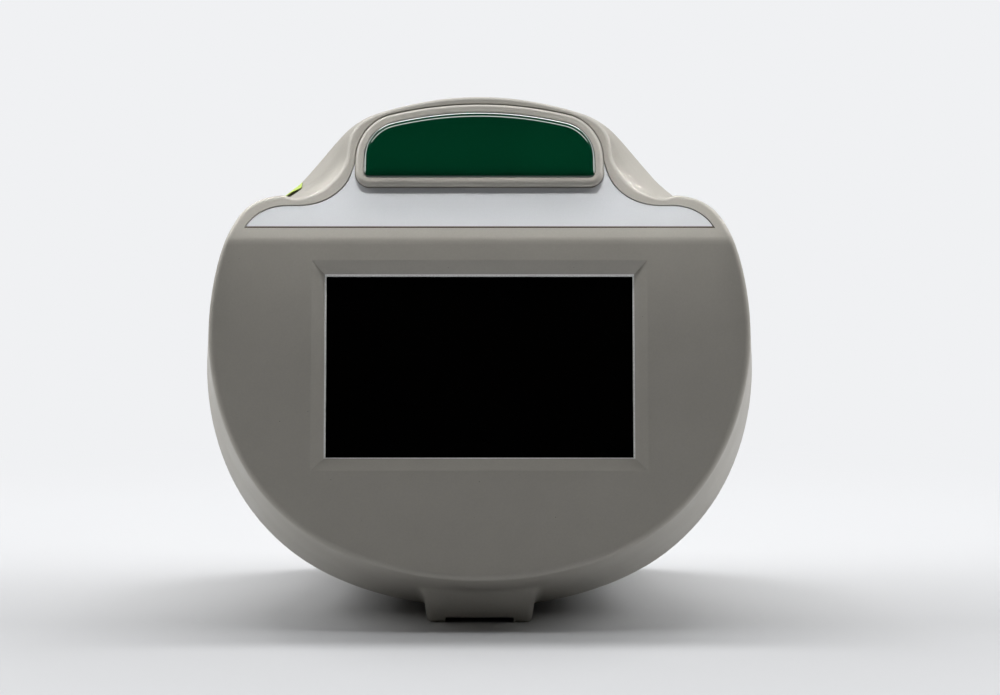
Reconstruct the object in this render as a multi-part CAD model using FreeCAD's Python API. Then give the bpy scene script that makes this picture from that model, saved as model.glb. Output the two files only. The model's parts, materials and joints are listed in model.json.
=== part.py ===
import FreeCAD, Part
import math
import os

from FreeCAD import Rotation, Vector

# Rapid test reader: a tilted round face with a display, a hood above it and a
# test drawer that slides out of the hood.  Millimetres, +Z up, front toward -Y,
# the origin under the middle of the housing on the surface that it stands on.

os.makedirs("parts", exist_ok=True)

# ---- overall sizes
FACE_WIDTH = 191.3          # widest part of the face
FACE_DROP = 86.9            # face centre down to the lower edge of the face
FACE_CLEAR = 18.67          # lower edge of the face above the table
BODY_DEPTH = 150.0          # face centre back to the rear wall
TILT = 16.0                 # the face leans back
BROW_TILT = 20.0            # the brow leans back further than the face
FOLD = 34.5                 # the brow starts this far above the face centre
FOLD_ROUND = 8.0
PARTING = 54.0              # face back to the joint between the shells

# ---- moulded shells
WALL = 3.0
RIM_ROUND = 2.0
REAR_ROUND = 12.0
SEAM_STEP = 0.4             # the rear shell is this much smaller at the joint
LIP_DEPTH = 1.6
LIP_WALL = 1.1
LIP_FIT = 0.12
COLUMN_R = 4.5
COLUMN_LOW = (60.0, 36.0)   # x and z of the lower screw columns
COLUMN_TOP = 39.8           # upper columns above the face centre
SCREW_R = 1.5
SCREW_HEAD_R = 2.8
SCREW_HEAD = 2.0

# ---- label panel on the brow
LABEL_BORDER = 4.2
LABEL_FOOT = 5.2            # above the fold
LABEL_RECESS = 1.0
LABEL_SUNK = 0.2
LABEL_FIT = 0.25

# ---- display
SCREEN_W = 109.3
SCREEN_H = 66.0
SCREEN_BEVEL = 4.75
SCREEN_BEVEL_DEPTH = 2.2
SCREEN_DROP = 10.45          # display centre below the face centre
GASKET_LIP = 0.45
GASKET = 0.6
GLASS = 1.6
GLASS_EDGE = 4.6
LCD_W = SCREEN_W + 11.4
LCD_H = SCREEN_H + 9.8
LCD = 4.2
RIB_FIT = 0.4
RIB = 1.6
BRACKET = 1.0
BRACKET_POST = (LCD_W / 2 - 2.35, LCD_H / 2 + 6.6)  # from the display centre
BOARD_W = 150.0
BOARD_H = 62.0
BOARD = 1.6
BOARD_BACK = 24.0           # front of the board behind the face
BOARD_POST = (70.0, 26.0)

# ---- drawer
DRAWER_W = 88.6
DRAWER_H = 28.6
DRAWER_TOP_LAP = 2.7        # the top of the drawer front under the top of the hood
DRAWER_PROUD = 2.4
DRAWER_SUNK = 0.7
DRAWER_ROUND = 1.5
DRAWER_FIT = 0.35
DRAWER_FOOT_R = 5.0
DRAWER_CORNER_R = 16.0
DRAWER_CORNER_TURN = 77.0
BADGE_BORDER = 2.9
BADGE_RECESS = 0.8
BADGE = 1.9
BADGE_ROUND = 1.4
TRAY_SCREW_X = (-20.0, 20.0)
TRAY_SCREW_Z = 4.4          # above the underside of the tray
TRAY_W = 58.0
TRAY_H = 8.0
TRAY_RISE = 2.3             # underside of the tray above the foot of the drawer front
TRAY_GAP = 0.9              # tray above the deck
TRAY_REAR = 10.0            # rear end of the tray before the rear wall
TRAY_WALL = 2.0
RUNNER = 2.6
RUNNER_H = 3.0
SLIDE_FIT = 0.15
MOUTH_FIT = 0.6             # runners to the sides of the opening in the brow
CASSETTE_L = 72.0
CASSETTE_W = 22.0
CASSETTE_H = 5.5
NEST_Y = min(48.0, BODY_DEPTH - CASSETTE_L - 16.0)
TRAVEL = 88.0
DECK = 2.5
DECK_W = 84.0
DECK_FRONT = 33.0
DECK_SCREW_X = 39.3
DECK_SCREW_REAR = 16.0      # before the rear wall
HEAD_Y = min(86.0, BODY_DEPTH - 58.0)
DECK_SCREW_FRONT = HEAD_Y - 6.0
HEAD_L = 32.0
HEAD_H = 6.5
HEAD_GAP = 2.0

# ---- foot, pads and ports
FOOT_W = 37.0
FOOT_FLARE = 3.2
FOOT_TOP = 24.0
FOOT_CORNER = 2.4
FOOT_EDGE = 1.6
FOOT_COVE = 4.0
FOOT_LEG = 6.4
FOOT_ARCH = 1.8
PAD_R = 6.3
PAD_H = 3.4
PAD_X = 42.0
PAD_REAR = 20.0             # before the rear wall
PORT_Z = 22.0               # underside of the sockets
SWITCH_W = 13.0
SWITCH_H = 19.0
SWITCH_X = -44.0
SWITCH_Z = 38.5
SWITCH_ANGLE = 8.0
BEZEL = 1.8
ROCKER_PIVOT = 3.6          # pivot under the face of the bezel
ROCKER_TIP = (5.9, 7.4)     # raised end from the pivot, in depth and height
ROCKER_ROUND = 0.5

# Half outlines from the bottom centre to the top: arcs as (radius, degrees),
# negative when the curve is hollow, and straight runs as (0, length).  The last
# arc, to the top centre, is found.
FACE_ARCS = [(125.3, 21.8), (73.1, 38.4), (97.5, 53.6), (20.4, 66.0), (0, 4.7),
             (-14.8, 76.5), (0, 11.4), (16.4, 51.3)]
SEAM_ARCS = [(130.4, 22.6), (77.6, 45.3), (97.2, 44.2), (58.2, 28.0), (0, 9.7),
             (-39.4, 10.3), (0, 18.8), (30.2, 36.2)]
BACK_ARCS = [(300.0, 7.0), (38.0, 68.0), (230.0, 24.0), (42.0, 42.0), (0, 2.0),
             (-60.0, 8.0), (0, 2.0), (28.0, 38.0)]
ARC_WIDTH = 191.3           # the arcs above are drawn for this face width
ARC_DROP = 86.9             # and for this drop
SEAM_START = -89.3
BACK_START = 4.0
STEPS = [3, 4, 4, 5, 1, 5, 2, 4, 3]
BREAKS = [0, 2, 3, 5, 7, 9]  # the outline is cut into faces after these pieces

FACE_HEIGHT = FACE_DROP * math.cos(math.radians(TILT)) + FACE_CLEAR
RIM_FRONT = (RIM_ROUND - FACE_DROP) * math.sin(math.radians(TILT)) \
    + RIM_ROUND * (math.cos(math.radians(TILT)) - 1)
ROCKER_REACH = BEZEL - ROCKER_PIVOT + ROCKER_TIP[0] * math.cos(math.radians(SWITCH_ANGLE)) \
    + ROCKER_TIP[1] * math.sin(math.radians(SWITCH_ANGLE))
FACE_Y = -(RIM_FRONT + BODY_DEPTH + ROCKER_REACH) / 2
REAR_Y = FACE_Y + BODY_DEPTH
COLUMN_HIGH = (56.0, FACE_HEIGHT + COLUMN_TOP)
STRETCH_X = FACE_WIDTH / ARC_WIDTH
STRETCH_Z = FACE_DROP / ARC_DROP
STICKER_X = (-74 * STRETCH_X, -65 * STRETCH_X)
TRAY_END = BODY_DEPTH - TRAY_REAR
PAD_Y = BODY_DEPTH - PAD_REAR
PORT_POSTS = (BODY_DEPTH - 44.0, BODY_DEPTH - 10.0)


# ---- frames and small helpers
def face_frame(shape):
    """Puts a shape drawn upright, with y as the depth behind the face, in place."""
    shape = shape.copy()
    shape.rotate(Vector(0, 0, 0), Vector(1, 0, 0), -TILT)
    shape.translate(Vector(0, FACE_Y, FACE_HEIGHT))
    return shape


def brow_frame(shape):
    """The same for a shape drawn on the brow, z from the fold."""
    shape = shape.copy()
    shape.rotate(Vector(0, 0, 0), Vector(1, 0, 0), -BROW_TILT)
    shape.translate(Vector(0, 0, FOLD))
    return face_frame(shape)


def face_point(x, t, u):
    turned = Rotation(Vector(1, 0, 0), -TILT).multVec(Vector(x, t, u))
    return turned + Vector(0, FACE_Y, FACE_HEIGHT)


def block(x0, x1, y0, y1, z0, z1):
    return Part.makeBox(x1 - x0, y1 - y0, z1 - z0, Vector(x0, y0, z0))


def rounded_block(x0, x1, y0, y1, z0, z1, radius, axis):
    """A block with the four edges along one axis rounded."""
    solid = block(x0, x1, y0, y1, z0, z1)
    picked = []
    for edge in solid.Edges:
        run = edge.Vertexes[1].Point - edge.Vertexes[0].Point
        if abs(getattr(run.normalize(), axis)) > 0.99:
            picked.append(edge)
    return solid.makeFillet(radius, picked)


def rod_y(x, z, y0, y1, radius):
    return Part.makeCylinder(radius, y1 - y0, Vector(x, y0, z), Vector(0, 1, 0))


def rod_z(x, y, z0, z1, radius):
    return Part.makeCylinder(radius, z1 - z0, Vector(x, y, z0), Vector(0, 0, 1))


def prism(points, direction):
    wire = Part.makePolygon(points + [points[0]])
    return Part.Face(wire).extrude(direction)


def mirrored(shape):
    return shape.mirror(Vector(0, 0, 0), Vector(1, 0, 0))


def both(shape):
    return [shape, mirrored(shape)]


def biggest(shape):
    return max(shape.Solids, key=lambda solid: solid.Volume)


# ---- outlines of the housing
def half_outline(arcs, start, inset, stretch_x, stretch_z):
    """Points of a half outline, moved in by the inset along their normals."""
    x, z, heading = 0.0, start / stretch_z, 0.0
    raw = []
    pieces = list(arcs)
    pieces.append(None)
    for index, piece in enumerate(pieces):
        if piece is None:
            rest = math.pi - heading
            radius, turn = x / math.sin(rest), rest
        elif piece[0] == 0:
            radius, turn = 0.0, piece[1]
        else:
            radius, turn = piece[0], math.radians(piece[1])
        count = STEPS[index]
        for step in range(count):
            part = step / count
            if radius == 0:
                px, pz = x + turn * part * math.cos(heading), z + turn * part * math.sin(heading)
                raw.append((px, pz, heading))
            else:
                now = heading + math.copysign(turn * part, radius)
                px = x + radius * (math.sin(now) - math.sin(heading))
                pz = z + radius * (math.cos(heading) - math.cos(now))
                raw.append((px, pz, now))
        if radius == 0:
            x, z = x + turn * math.cos(heading), z + turn * math.sin(heading)
        else:
            end = heading + math.copysign(turn, radius)
            x, z = (x + radius * (math.sin(end) - math.sin(heading)),
                    z + radius * (math.cos(heading) - math.cos(end)))
            heading = end
    raw.append((0.0, z, math.pi))
    points = []
    for px, pz, now in raw:
        along = Vector(math.cos(now) * stretch_x, 0, math.sin(now) * stretch_z).normalize()
        points.append((px * stretch_x - inset * along.z, pz * stretch_z + inset * along.x))
    return points


def front_point(x, v):
    """Bends the flat outline over the fold, onto the brow."""
    over = max(0.0, v - FOLD)
    angle = math.radians(BROW_TILT)
    return Vector(x, over * math.sin(angle), min(v, FOLD) + over * math.cos(angle))


def face_rulings(inset):
    """Pairs of points, on the front surface and on the parting plane."""
    front = half_outline(FACE_ARCS, -FACE_DROP, inset, STRETCH_X, STRETCH_Z)
    seam = half_outline(SEAM_ARCS, SEAM_START * STRETCH_Z, inset, STRETCH_X, STRETCH_Z)
    pairs = []
    for (fx, fv), (sx, su) in zip(front, seam):
        pairs.append((front_point(fx, fv), Vector(sx, PARTING, su)))
    return pairs


def rear_rulings(inset):
    """Pairs of points, on the parting plane and on the rear wall."""
    seam = half_outline(SEAM_ARCS, SEAM_START * STRETCH_Z, inset, STRETCH_X, STRETCH_Z)
    back = half_outline(BACK_ARCS, BACK_START, inset, STRETCH_X, STRETCH_Z)
    pairs = []
    for (sx, su), (bx, bz) in zip(seam, back):
        pairs.append((face_point(sx, PARTING, su), Vector(bx, REAR_Y, bz)))
    return pairs


def closed_curve(half):
    """A smooth closed wire through a half outline and its mirror image."""
    points = list(half)
    for point in reversed(half[1:-1]):
        points.append(Vector(-point.x, point.y, point.z))
    curve = Part.BSplineCurve()
    curve.interpolate(Points=points, PeriodicFlag=True)
    knots = curve.getKnots()
    marks = [sum(STEPS[:count]) for count in BREAKS]
    marks += [len(points) - mark for mark in reversed(marks[:-1])]
    edges = []
    for first, last in zip(marks[:-1], marks[1:]):
        edges.append(curve.toShape(knots[first], knots[last]))
    return Part.Wire(edges)


def section(pairs, depth):
    """The outline at one depth along the rulings."""
    half = []
    for near, far in pairs:
        share = (depth - near.y) / (far.y - near.y)
        half.append(near + (far - near) * share)
    return closed_curve(half)


def front_skin(inset, t0, t1):
    pairs = face_rulings(inset)
    return face_frame(Part.makeLoft([section(pairs, t0), section(pairs, t1)], True, True))


def face_depth(point):
    """How far a point lies behind the plane of the face."""
    return Rotation(Vector(1, 0, 0), TILT).multVec(point - Vector(0, FACE_Y, FACE_HEIGHT)).y


def rear_section(inset, t):
    """The outline of the rear shell on a plane parallel to the face."""
    half = []
    for near, far in rear_rulings(inset):
        share = (t - face_depth(near)) / (face_depth(far) - face_depth(near))
        half.append(near + (far - near) * share)
    return closed_curve(half)


def rear_skin(inset, t0, y1):
    end = section(rear_rulings(inset), y1)
    return Part.makeLoft([rear_section(inset, t0), end], True, True)


def end_face(solid, t):
    """The flat face of a solid at one depth behind the face."""
    for face in solid.Faces:
        if isinstance(face.Surface, Part.Plane):
            if max(abs(face_depth(vertex.Point) - t) for vertex in face.Vertexes) < 0.001:
                return face
    return None


def hollow(outer, t_outer, core, t_core, ring_near):
    """Joins an outer form and a core into one shell with a stepped open end."""
    ring_far = ring_near.copy()
    ring_far.translate((face_point(0, 1, 0) - face_point(0, 0, 0)) * (t_core - t_outer))
    outer_end = end_face(outer, t_outer)
    core_end = end_face(core, t_core)
    faces = [face for face in outer.Faces if not face.isSame(outer_end)]
    faces += [face for face in core.Faces if not face.isSame(core_end)]
    faces += Part.makeLoft([ring_near, ring_far], False, True).Faces
    faces.append(Part.Face([outer_end.OuterWire, ring_near]))
    faces.append(Part.Face([ring_far, core_end.OuterWire]))
    skin = Part.makeCompound(faces)
    skin.sewShape()
    solid = Part.Solid(skin.Shells[0])
    solid.fix(1e-4, 1e-5, 1e-3)
    return solid


def behind_front(depth, reach):
    """Everything behind the folded front surface, moved back by a depth."""
    half_turn = math.radians(BROW_TILT) / 2
    corner = FOLD - depth * math.tan(half_turn)
    cut = (FOLD_ROUND - depth) * math.tan(half_turn)
    rise = Vector(0, math.sin(2 * half_turn), math.cos(2 * half_turn))
    low = Vector(-150, depth, corner - cut)
    high = Vector(-150, depth, corner) + rise * cut
    sag = (FOLD_ROUND - depth) * (1 / math.cos(half_turn) - 1)
    middle = Vector(-150, depth + sag * math.cos(half_turn), corner - sag * math.sin(half_turn))
    top = high + rise * 120
    edges = [Part.LineSegment(Vector(-150, depth, -150), low).toShape(),
             Part.Arc(low, middle, high).toShape(),
             Part.LineSegment(high, top).toShape(),
             Part.LineSegment(top, Vector(-150, reach, top.z)).toShape(),
             Part.LineSegment(Vector(-150, reach, top.z), Vector(-150, reach, -150)).toShape(),
             Part.LineSegment(Vector(-150, reach, -150), Vector(-150, depth, -150)).toShape()]
    return face_frame(Part.Face(Part.Wire(edges)).extrude(Vector(300, 0, 0)))


def brow_slab(depth0, depth1):
    """A slab parallel to the brow, between two depths under its surface."""
    return brow_frame(block(-150, 150, depth0, depth1, -20, 120))


def brow_y(z, depth):
    """Where the brow surface, moved back by a depth, crosses a height."""
    lean = math.radians(TILT + BROW_TILT)
    fold = face_point(0, 0, FOLD)
    return fold.y + (z - fold.z) * math.tan(lean) + depth / math.cos(lean)


def hood_top():
    """Height of the front edge of the hood in the middle."""
    crest = half_outline(FACE_ARCS, -FACE_DROP, 0, STRETCH_X, STRETCH_Z)[-1]
    bent = front_point(0, crest[1])
    return face_point(0, bent.y, bent.z).z


DRAWER_BOTTOM = hood_top() - DRAWER_TOP_LAP - DRAWER_H
TRAY_Z = DRAWER_BOTTOM + TRAY_RISE
DECK_TOP = TRAY_Z - TRAY_GAP


def label_blank(border, above_fold, depth0, depth1):
    """The brow inside its border, down to a line above the fold."""
    half = half_outline(FACE_ARCS, -FACE_DROP, border, STRETCH_X, STRETCH_Z)
    wire = closed_curve([Vector(x, depth0, v - FOLD) for x, v in half])
    blank = Part.Face(wire).extrude(Vector(0, depth1 - depth0, 0))
    return brow_frame(blank.common(block(-150, 150, -20, 20, above_fold, 120)))


# ---- front shell
def drawer_outline(inset, y0, y1):
    """The D of the drawer front, along Y: straight foot, arched top."""
    half = DRAWER_W / 2 - inset
    low = DRAWER_BOTTOM + inset
    foot = max(DRAWER_FOOT_R - inset, 2.0)
    corner = DRAWER_CORNER_R - inset
    turn = math.radians(DRAWER_CORNER_TURN)
    arch_x = half - corner * (1 - math.cos(turn))
    arch_r = arch_x / math.cos(turn)
    high = DRAWER_BOTTOM + DRAWER_H - inset
    arch_z = high - arch_r * (1 - math.sin(turn))
    side_z = arch_z - corner * math.sin(turn)
    mid_x = half - corner * (1 - math.cos(turn / 2))
    mid_z = side_z + corner * math.sin(turn / 2)
    bend = foot * (1 - math.sqrt(0.5))
    right = [Vector(half - foot, y0, low), Vector(half - bend, y0, low + bend),
             Vector(half, y0, low + foot), Vector(half, y0, side_z), Vector(mid_x, y0, mid_z),
             Vector(arch_x, y0, arch_z)]
    left = [Vector(-point.x, y0, point.z) for point in right]
    edges = [Part.LineSegment(left[0], right[0]).toShape(),
             Part.Arc(right[0], right[1], right[2]).toShape(),
             Part.LineSegment(right[2], right[3]).toShape(),
             Part.Arc(right[3], right[4], right[5]).toShape(),
             Part.Arc(right[5], Vector(0, y0, high), left[5]).toShape(),
             Part.Arc(left[5], left[4], left[3]).toShape(),
             Part.LineSegment(left[3], left[2]).toShape(),
             Part.Arc(left[2], left[1], left[0]).toShape()]
    return Part.Face(Part.Wire(edges)).extrude(Vector(0, y1 - y0, 0))


def brow_normal():
    lean = math.radians(TILT + BROW_TILT)
    return Vector(0, -math.cos(lean), math.sin(lean))


def outer_face(solid):
    """The large face of a solid that lies furthest out of the brow."""
    normal = brow_normal()
    large = [face for face in solid.Faces if face.Area > 500]
    return max(large, key=lambda face: face.CenterOfMass.dot(normal))


def badge_blank(inset, depth, height):
    """The outline of the badge, raised square to the brow from a depth."""
    plate = drawer_outline(inset, FACE_Y - 10, FACE_Y + 80).common(brow_slab(depth, depth + 1))
    return outer_face(plate).extrude(brow_normal() * height)


def post(x, u, t0, t1, radius):
    return face_frame(Part.makeCylinder(radius, t1 - t0, Vector(x, t0, u), Vector(0, 1, 0)))


def face_block(x0, x1, t0, t1, u0, u1):
    return face_frame(block(x0, x1, t0, t1, u0, u1))


def columns(y0, y1, radius):
    """The four screw columns, or their bores, along Y."""
    rods = []
    for x, z in (COLUMN_LOW, COLUMN_HIGH):
        rods += both(rod_y(x * STRETCH_X, z, y0, y1, radius))
    return rods


def seam_y(z):
    """The height z of the parting plane lies at this y."""
    lean = math.radians(TILT)
    return FACE_Y + (PARTING + (z - FACE_HEIGHT) * math.sin(lean)) / math.cos(lean)


def front_depth(point):
    """How far a point lies behind the folded front surface."""
    local = Rotation(Vector(1, 0, 0), TILT).multVec(point - Vector(0, FACE_Y, FACE_HEIGHT))
    lean = math.radians(BROW_TILT)
    brow = local.y * math.cos(lean) - (local.z - FOLD) * math.sin(lean)
    return min(local.y, brow)


def screen_funnel():
    """The bevelled opening of the display."""
    half_w, half_h = SCREEN_W / 2, SCREEN_H / 2
    outer = []
    inner = []
    for sx, su in ((-1, -1), (1, -1), (1, 1), (-1, 1)):
        grow = SCREEN_BEVEL * (SCREEN_BEVEL_DEPTH + 1) / SCREEN_BEVEL_DEPTH
        outer.append(Vector(sx * (half_w + grow), -1, su * (half_h + grow) - SCREEN_DROP))
        inner.append(Vector(sx * half_w, SCREEN_BEVEL_DEPTH, su * half_h - SCREEN_DROP))
    funnel = Part.makeLoft([Part.makePolygon(outer + outer[:1]),
                            Part.makePolygon(inner + inner[:1])], True, True)
    hole = block(-half_w, half_w, 0, WALL + 2, -half_h - SCREEN_DROP, half_h - SCREEN_DROP)
    return [face_frame(funnel), face_frame(hole)]


def foot():
    """The pedestal under the face, with two short legs."""
    half = FOOT_W / 2
    front = FACE_Y - 12
    low = prism([Vector(-half, front, 0), Vector(half, front, 0),
                 Vector(half + FOOT_FLARE, front, FOOT_TOP),
                 Vector(-half - FOOT_FLARE, front, FOOT_TOP)], Vector(0, 38, 0))
    side = prism([Vector(-60, FACE_Y + 1.5, 0), Vector(-60, FACE_Y + 22, 0),
                  Vector(-60, FACE_Y + 22, FOOT_TOP), Vector(-60, FACE_Y - 9, FOOT_TOP)],
                 Vector(120, 0, 0))
    solid = low.common(side)
    upright = [edge for edge in solid.Edges if edge.CenterOfMass.y < FACE_Y + 10
               and abs(edge.Vertexes[0].Z - edge.Vertexes[1].Z) > 20]
    solid = solid.makeFillet(FOOT_CORNER, upright)
    under = [edge for edge in solid.Edges if edge.BoundBox.ZMax < 0.05]
    solid = solid.makeFillet(FOOT_EDGE, under)
    arch = half - FOOT_LEG
    return solid.cut(block(-arch, arch, front, FACE_Y + 40, -1, FOOT_ARCH))


def foot_junction(solid):
    """The edges where the pedestal runs into the underside of the face."""
    reach = FOOT_W / 2 + FOOT_FLARE + 8
    picked = []
    for edge in solid.Edges:
        box = edge.BoundBox
        near = max(abs(box.XMin), abs(box.XMax)) < reach and edge.CenterOfMass.y < FACE_Y + 20
        if not near or box.ZMin < FOOT_ARCH + 0.2 or box.ZMax > FOOT_TOP + 2:
            continue
        broad = [face for face in solid.Faces
                 if face.Area > 900 and any(other.isSame(edge) for other in face.Edges)]
        if len(broad) == 1:
            picked.append(edge)
    return picked


def tray_mouth():
    half = TRAY_W / 2 + RUNNER + MOUTH_FIT
    return rounded_block(-half, half, FACE_Y, FACE_Y + 60, DECK_TOP,
                         TRAY_Z + TRAY_H + TRAY_GAP, 1.5, "y")


def front_shell():
    outer = front_skin(0, -8, PARTING).common(behind_front(0, 200))
    rim = []
    for edge in outer.Edges:
        middle = edge.valueAt((edge.FirstParameter + edge.LastParameter) / 2)
        if not isinstance(edge.Curve, Part.Line) and front_depth(middle) < 0.2:
            rim.append(edge)
    outer = outer.makeFillet(RIM_ROUND, rim)
    outer = outer.fuse(foot())
    outer = outer.makeFillet(FOOT_COVE, foot_junction(outer))
    lip_end = PARTING + LIP_DEPTH
    core = front_skin(WALL, -8, lip_end).common(behind_front(WALL, 200))
    shell = hollow(outer, PARTING, core, lip_end, rear_section(WALL - LIP_WALL, PARTING))
    inside = front_skin(WALL - 1, -8, PARTING).common(behind_front(WALL - 1, 200))
    seam_cut = face_block(-150, 150, PARTING, PARTING + 200, -150, 150)
    additions = []
    for rod in columns(FACE_Y - 30, FACE_Y + 90, COLUMN_R):
        additions.append(rod.common(inside).cut(seam_cut))
    u0 = -SCREEN_DROP
    for sx in (-1, 1):
        for su in (-1, 1):
            x, u = sx * BRACKET_POST[0], u0 + su * BRACKET_POST[1]
            additions.append(post(x, u, WALL - 1, bracket_front(), 3.2))
            x, u = sx * BOARD_POST[0], u0 + su * BOARD_POST[1]
            additions.append(post(x, u, WALL - 1, BOARD_BACK, 3.2))
    additions.append(display_rib())
    shell = shell.fuse(additions)
    bores = []
    for x, z in (COLUMN_LOW, COLUMN_HIGH):
        bores += both(rod_y(x * STRETCH_X, z, seam_y(z) - 18, seam_y(z) + 10, SCREW_R))
    for sx in (-1, 1):
        for su in (-1, 1):
            x, u = sx * BRACKET_POST[0], u0 + su * BRACKET_POST[1]
            bores.append(post(x, u, WALL + 1.5, bracket_front() + 1, 1.0))
            x, u = sx * BOARD_POST[0], u0 + su * BOARD_POST[1]
            bores.append(post(x, u, BOARD_BACK - 8, BOARD_BACK + 1, 1.0))
    label = label_blank(LABEL_BORDER, LABEL_FOOT, -5, LABEL_RECESS)
    pocket = drawer_outline(-DRAWER_FIT, FACE_Y, FACE_Y + 80).common(brow_slab(-20, LABEL_RECESS))
    return biggest(shell.cut(screen_funnel() + bores + [label, pocket, tray_mouth()]))


def bracket_front():
    return WALL + GASKET + GLASS + LCD + 0.4


def display_rib():
    """The wall round the glass and the display module, inside the face."""
    half_w = LCD_W / 2 + RIB_FIT
    half_h = LCD_H / 2 + RIB_FIT
    outer = block(-half_w - RIB, half_w + RIB, WALL - 1, WALL + 5.5,
                  -half_h - RIB - SCREEN_DROP, half_h + RIB - SCREEN_DROP)
    inner = block(-half_w, half_w, WALL - 3, WALL + 8, -half_h - SCREEN_DROP, half_h - SCREEN_DROP)
    return face_frame(outer.cut(inner))


# ---- rear shell
def deck_screws_at():
    return [(sign * DECK_SCREW_X, y) for sign in (-1, 1)
            for y in (FACE_Y + DECK_SCREW_FRONT, REAR_Y - DECK_SCREW_REAR)]


def ledges():
    """Brackets moulded on the side walls, under the drawer deck."""
    solids = []
    top = DECK_TOP - DECK
    for x, y in deck_screws_at():
        side = math.copysign(1, x)
        web = prism([Vector(x, y - 1.5, top), Vector(x + side * 60, y - 1.5, top),
                     Vector(x + side * 60, y - 1.5, top - 40), Vector(x, y - 1.5, top - 10)],
                    Vector(0, 3, 0))
        solids.append(web.fuse(rod_z(x, y, top - 12, top, 3.6)))
    return solids


def vents(y):
    """Slots through the rear wall above the ports."""
    slots = []
    for row in range(7):
        z = 68 + 7.0 * row
        slots.append(rounded_block(-27, 27, y - 8, y + 4, z, z + 2.6, 1.25, "y"))
    return slots


def port_holes():
    holes = []
    for x, width, height in socket_sizes():
        holes.append(block(x - width / 2 - 0.3, x + width / 2 + 0.3, REAR_Y - 8, REAR_Y + 2,
                           PORT_Z - 0.3, PORT_Z + height + 0.3))
    holes.append(block(SWITCH_X - SWITCH_W / 2, SWITCH_X + SWITCH_W / 2, REAR_Y - 8, REAR_Y + 2,
                       SWITCH_Z - SWITCH_H / 2, SWITCH_Z + SWITCH_H / 2))
    return holes


def socket_sizes():
    """Middle, width and height of the power, network and two USB sockets."""
    return [(-24.0, 9.4, 11.2), (-4.0, 16.2, 13.6), (16.0, 13.4, 6.6), (34.0, 13.4, 6.6)]


def rear_edges(solid, y):
    picked = []
    for edge in solid.Edges:
        middle = edge.valueAt((edge.FirstParameter + edge.LastParameter) / 2)
        if abs(edge.Vertexes[0].Point.y - y) < 0.01 and abs(middle.y - y) < 0.01:
            picked.append(edge)
    return picked


def rear_shell():
    outer = rear_skin(SEAM_STEP, PARTING, REAR_Y)
    outer = outer.makeFillet(REAR_ROUND, rear_edges(outer, REAR_Y))
    groove_end = PARTING + LIP_DEPTH + 0.3
    core = rear_skin(WALL, groove_end, REAR_Y - WALL)
    core = core.makeFillet(REAR_ROUND - WALL, rear_edges(core, REAR_Y - WALL))
    groove = WALL - LIP_WALL - LIP_FIT
    shell = hollow(outer, PARTING, core, groove_end, rear_section(groove, PARTING))
    seam_cut = face_block(-150, 150, -200, PARTING, -200, 200)
    additions = []
    for x, z in (COLUMN_LOW, COLUMN_HIGH):
        tube = rod_y(x * STRETCH_X, z, seam_y(z) - 20, REAR_Y, COLUMN_R + 0.6)
        additions += both(tube)
    additions += ledges()
    for x in (-1, 1):
        additions.append(rod_z(x * PAD_X, FACE_Y + PAD_Y, 2.6, 12, PAD_R + 1.8))
        for y in (FACE_Y + PORT_POSTS[0], FACE_Y + PORT_POSTS[1]):
            additions.append(rod_z(x * 48, y, 3, PORT_Z - BOARD, 3.0))
    limit = rear_skin(WALL - 1, PARTING, REAR_Y - WALL + 1)
    inner = []
    for solid in additions:
        inner.append(solid.common(limit) if solid.BoundBox.ZMax > 13 else solid)
    inner = [solid.cut(seam_cut) for solid in inner]
    shell = shell.fuse(inner)
    cuts = []
    for x, z in (COLUMN_LOW, COLUMN_HIGH):
        floor = seam_y(z) + 5.0
        cuts += both(rod_y(x * STRETCH_X, z, floor, REAR_Y + 2, SCREW_HEAD_R + 0.4))
        cuts += both(rod_y(x * STRETCH_X, z, seam_y(z) - 10, floor + 1, SCREW_R + 0.2))
    for x in (-1, 1):
        cuts.append(rod_z(x * PAD_X, FACE_Y + PAD_Y, 0, PAD_H, PAD_R + 0.2))
        for y in (FACE_Y + PORT_POSTS[0], FACE_Y + PORT_POSTS[1]):
            cuts.append(rod_z(x * 48, y, PORT_Z - 10, PORT_Z, 1.0))
    for x, y in deck_screws_at():
        cuts.append(rod_z(x, y, DECK_TOP - DECK - 8, DECK_TOP, 1.0))
    return biggest(shell.cut(cuts + vents(REAR_Y) + port_holes()))


# ---- brow and display pieces
def label_panel():
    sheet = label_blank(LABEL_BORDER + LABEL_FIT, LABEL_FOOT + LABEL_FIT, LABEL_SUNK,
                        LABEL_RECESS)
    sheet = sheet.cut([drawer_outline(-DRAWER_FIT, FACE_Y, FACE_Y + 80), tray_mouth()])
    return biggest(sheet)


def display_layer(width, height, t0, t1):
    return face_block(-width / 2, width / 2, t0, t1, -height / 2 - SCREEN_DROP,
                      height / 2 - SCREEN_DROP)


def display_gasket():
    edge = 2 * GLASS_EDGE
    ring = display_layer(SCREEN_W + edge, SCREEN_H + edge, WALL, WALL + GASKET)
    hole = display_layer(SCREEN_W - 2 * GASKET_LIP, SCREEN_H - 2 * GASKET_LIP, WALL - 1,
                         WALL + GASKET + 1)
    return ring.cut(hole)


def touch_panel():
    edge = 2 * GLASS_EDGE
    front = WALL + GASKET
    return display_layer(SCREEN_W + edge, SCREEN_H + edge, front, front + GLASS)


def lcd_module():
    front = WALL + GASKET + GLASS
    body = display_layer(LCD_W, LCD_H, front, front + LCD)
    tail = face_block(-22, 22, front + LCD - 1.2, front + LCD, -LCD_H / 2 - SCREEN_DROP - 0.3,
                      -LCD_H / 2 - SCREEN_DROP)
    step = display_layer(LCD_W - 12, LCD_H - 12, front + LCD, front + LCD + 0.4)
    return body.fuse([step, tail]).removeSplitter()


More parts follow.
